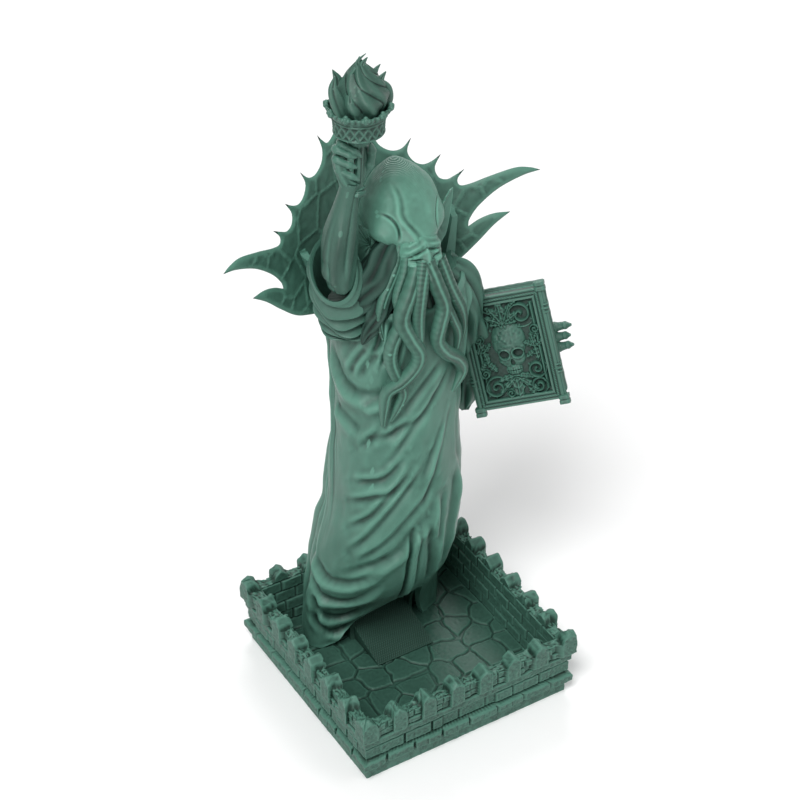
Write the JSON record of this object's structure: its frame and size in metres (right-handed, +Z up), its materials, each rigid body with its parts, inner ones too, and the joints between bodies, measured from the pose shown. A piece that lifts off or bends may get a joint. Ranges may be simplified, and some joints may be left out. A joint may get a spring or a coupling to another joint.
{
  "type": "dice tower",
  "caption": "Dice tower shaped as a robed, tentacle-faced figure with a raised torch, a book and wings, in a square castle-walled tray.",
  "frame": {"origin": "centre of the tray's flat underside", "axes": "+Z up; -Y is the way the figure and the doorway face; +X is towards the book arm"},
  "size_m": [0.1169, 0.086, 0.249],
  "materials": {
    "tray_print": "satin",
    "tower_print": "satin"
  },
  "bodies": {
    "tray": {"parapet_back": "tray_print", "parapet_front": "tray_print", "parapet_left": "tray_print", "parapet_right": "tray_print", "tray_floor": "tray_print", "tray_paving": "tray_print", "tray_wall_back": "tray_print", "tray_wall_front": "tray_print", "tray_wall_left": "tray_print", "tray_wall_right": "tray_print"},
    "tower": {"baffle_lower": "tower_print", "baffle_middle": "tower_print", "baffle_upper": "tower_print", "book_column_left": "tower_print", "book_column_right": "tower_print", "book_cover_back": "tower_print", "book_cover_front": "tower_print", "book_emblem": "tower_print", "book_finger_1": "tower_print", "book_finger_2": "tower_print", "book_finger_3": "tower_print", "book_frame": "tower_print", "book_hand": "tower_print", "book_pages": "tower_print", "book_sleeve": "tower_print", "door_cheek_left": "tower_print", "door_cheek_right": "tower_print", "ear_fin_left": "tower_print", "ear_fin_right": "tower_print", "exit_ramp": "tower_print", "face": "tower_print", "head_bridge": "tower_print", "hopper_collar": "tower_print", "mantle": "tower_print", "neck": "tower_print", "robe_skirt": "tower_print", "robe_torso": "tower_print", "shoulder_yoke": "tower_print", "tentacle_centre": "tower_print", "tentacle_left_inner": "tower_print", "tentacle_left_outer": "tower_print", "tentacle_right_inner": "tower_print", "tentacle_right_outer": "tower_print", "torch_cup": "tower_print", "torch_flame": "tower_print", "torch_forearm": "tower_print", "torch_hand": "tower_print", "torch_handle": "tower_print", "torch_sleeve": "tower_print", "wing_left": "tower_print", "wing_right": "tower_print"}
  },
  "joints": [
    {"name": "tower_lift", "type": "slide", "parent": "tray", "child": "tower", "axis": [0, 0, 1], "range_m": [0, 0.04]}
  ]
}
